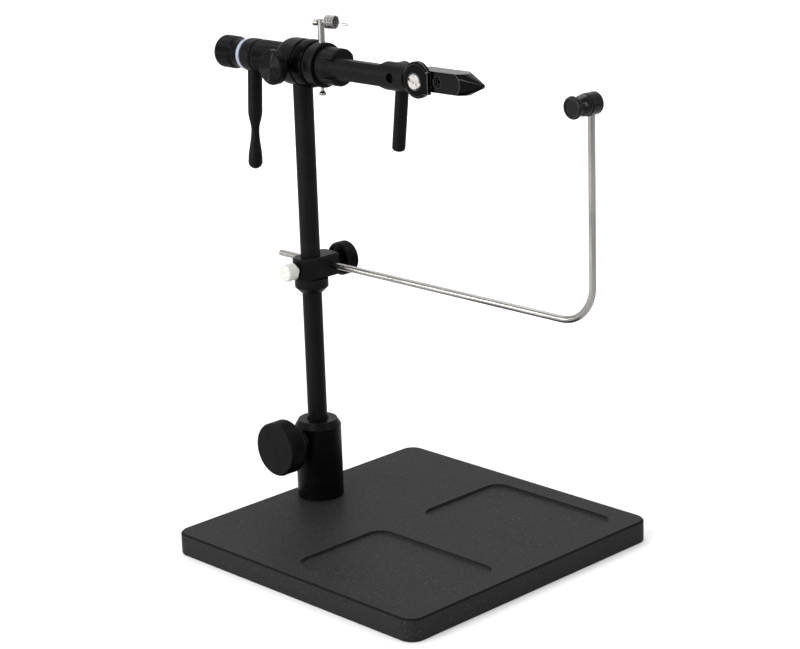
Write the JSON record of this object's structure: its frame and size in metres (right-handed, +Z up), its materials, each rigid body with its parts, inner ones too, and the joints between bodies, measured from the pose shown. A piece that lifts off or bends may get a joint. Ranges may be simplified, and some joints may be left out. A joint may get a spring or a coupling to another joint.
{
  "type": "fly tying vise",
  "caption": "Rotary fly tying vise on a flat pocketed base: cam-closed jaws, crank handle, material clip and bobbin cradle on one stem.",
  "frame": {"origin": "centre of the base's underside, on the surface that it stands on", "axes": "+Z up along the stem; +X along the head axis, from the tension knob to the jaw tips; +Y to the far side, away from the lock knobs"},
  "size_m": [0.231, 0.16, 0.2496],
  "materials": {
    "base_coat": "black powder coat, fine texture, satin",
    "pad_rubber": "matte black rubber sheet",
    "black_coat": "satin black oxide on steel",
    "black_satin": "satin black anodised",
    "black_gloss": "polished black anodised",
    "jaw_steel": "polished black hardened steel",
    "steel": "bright stainless steel",
    "spring_wire": "bright spring wire",
    "nylon": "white nylon",
    "bronze": "sintered bronze"
  },
  "bodies": {
    "base": {"base_plate": "base_coat", "base_pad": "pad_rubber", "post_bolt": "steel"},
    "post": {"stem_post": "black_coat"},
    "stem_lock": {"stem_lock_knob": "black_satin", "stem_lock_screw": "steel"},
    "stem": {"stem": "black_coat", "head_body": "black_satin", "front_ring": "black_gloss", "rear_barrel": "black_satin", "shaft_bushings": "bronze"},
    "stop": {"stop_collar": "black_satin"},
    "stop_screw": {"stop_collar_screw": "steel"},
    "clamp": {"cradle_clamp": "black_satin"},
    "clamp_knob": {"clamp_knob": "black_satin", "clamp_stud": "steel"},
    "nylon_screw": {"nylon_screw": "nylon"},
    "cradle": {"cradle_rod": "steel", "bobbin_rest": "black_gloss"},
    "head_lock": {"head_lock_knob": "black_satin", "head_lock_screw": "steel"},
    "rotor": {"rotary_shaft": "steel", "crank_hub": "black_satin", "crank_handle": "black_coat", "nylon_washer": "nylon", "arm": "black_coat"},
    "tension_knob": {"tension_knob": "black_satin"},
    "clip": {"clip_collar": "black_satin", "clip_post": "steel", "clip_spool": "steel", "material_spring": "spring_wire", "wire_guide": "spring_wire"},
    "clip_screw": {"clip_screw": "steel"},
    "clip_lock": {"clip_lock_screw": "steel"},
    "cam": {"cam": "black_coat", "cam_lever": "black_coat"},
    "jaw": {"jaw_holder": "black_coat", "jaw_near": "jaw_steel", "jaw_dowels": "steel", "jaw_spring": "spring_wire"},
    "far_jaw": {"jaw_far": "jaw_steel"},
    "pivot_screw": {"pivot_screw": "steel"},
    "jaw_screw": {"jaw_screw": "black_gloss"}
  },
  "joints": [
    {"name": "post_swivel", "type": "hinge", "parent": "base", "child": "post", "pos_m": [-0.0638, 0, 0.0109], "axis": [0, 0, 1], "continuous": true},
    {"name": "stem_lock_turn", "type": "hinge", "parent": "post", "child": "stem_lock", "pos_m": [-0.0638, 0, 0.0416], "axis": [0, -1, 0], "range_deg": [0, 180]},
    {"name": "stem_height", "type": "slide", "parent": "post", "child": "stem", "axis": [0, 0, 1], "range_m": [0, 0.02]},
    {"name": "stop_height", "type": "slide", "parent": "stem", "child": "stop", "axis": [0, 0, 1], "range_m": [-0.055, 0.035]},
    {"name": "stop_screw_turn", "type": "hinge", "parent": "stop", "child": "stop_screw", "pos_m": [-0.0638, 0, 0.1199], "axis": [0, 1, 0], "range_deg": [0, 90]},
    {"name": "cradle_swing", "type": "hinge", "parent": "stop", "child": "clamp", "pos_m": [-0.0638, 0, 0.12745], "axis": [0, 0, 1], "continuous": true},
    {"name": "clamp_knob_turn", "type": "hinge", "parent": "clamp", "child": "clamp_knob", "pos_m": [-0.0638, 0, 0.12745], "axis": [0, 1, 0], "range_deg": [0, 180]},
    {"name": "nylon_screw_turn", "type": "hinge", "parent": "clamp", "child": "nylon_screw", "pos_m": [-0.0638, 0, 0.12745], "axis": [0, -1, 0], "range_deg": [0, 180]},
    {"name": "cradle_reach", "type": "slide", "parent": "clamp", "child": "cradle", "axis": [1, 0, 0], "range_m": [-0.045, 0.018]},
    {"name": "head_lock_turn", "type": "hinge", "parent": "stem", "child": "head_lock", "pos_m": [-0.0638, 0, 0.2268], "axis": [0, -1, 0], "range_deg": [0, 180]},
    {"name": "head_spin", "type": "hinge", "parent": "stem", "child": "rotor", "pos_m": [-0.0638, 0, 0.2268], "axis": [1, 0, 0], "continuous": true},
    {"name": "tension_turn", "type": "hinge", "parent": "rotor", "child": "tension_knob", "pos_m": [-0.1088, 0, 0.2268], "axis": [-1, 0, 0], "range_deg": [0, 180]},
    {"name": "clip_swing", "type": "hinge", "parent": "rotor", "child": "clip", "pos_m": [-0.04942, 0, 0.2268], "axis": [1, 0, 0], "continuous": true},
    {"name": "clip_screw_turn", "type": "hinge", "parent": "clip", "child": "clip_screw", "pos_m": [-0.04942, 0, 0.24651], "axis": [-0.9613, -0.2756, 0], "range_deg": [0, 90]},
    {"name": "clip_lock_turn", "type": "hinge", "parent": "clip", "child": "clip_lock", "pos_m": [-0.05012, 0, 0.2163], "axis": [0, 0, -1], "range_deg": [0, 180]},
    {"name": "cam_turn", "type": "hinge", "parent": "rotor", "child": "cam", "pos_m": [0.0018, 0, 0.2268], "axis": [0, 1, 0], "range_deg": [0, 80]},
    {"name": "jaw_tilt", "type": "hinge", "parent": "rotor", "child": "jaw", "pos_m": [0.0172, 0, 0.2268], "axis": [0, -1, 0], "range_deg": [-15, 10]},
    {"name": "jaw_opening", "type": "hinge", "parent": "jaw", "child": "far_jaw", "pos_m": [0.0293, 0, 0.22748], "axis": [-0.007, 0, 1], "range_deg": [0, 1.85]},
    {"name": "pivot_screw_turn", "type": "hinge", "parent": "jaw", "child": "pivot_screw", "pos_m": [0.0172, 0, 0.2268], "axis": [0, -1, 0], "range_deg": [0, 90]},
    {"name": "jaw_screw_turn", "type": "hinge", "parent": "jaw", "child": "jaw_screw", "pos_m": [0.0293, 0, 0.22748], "axis": [0, -1, 0], "range_deg": [-90, 90]}
  ],
  "couplings": [
    {"joint": "jaw_opening", "follows": "cam_turn", "ratio": 0.0225}
  ]
}
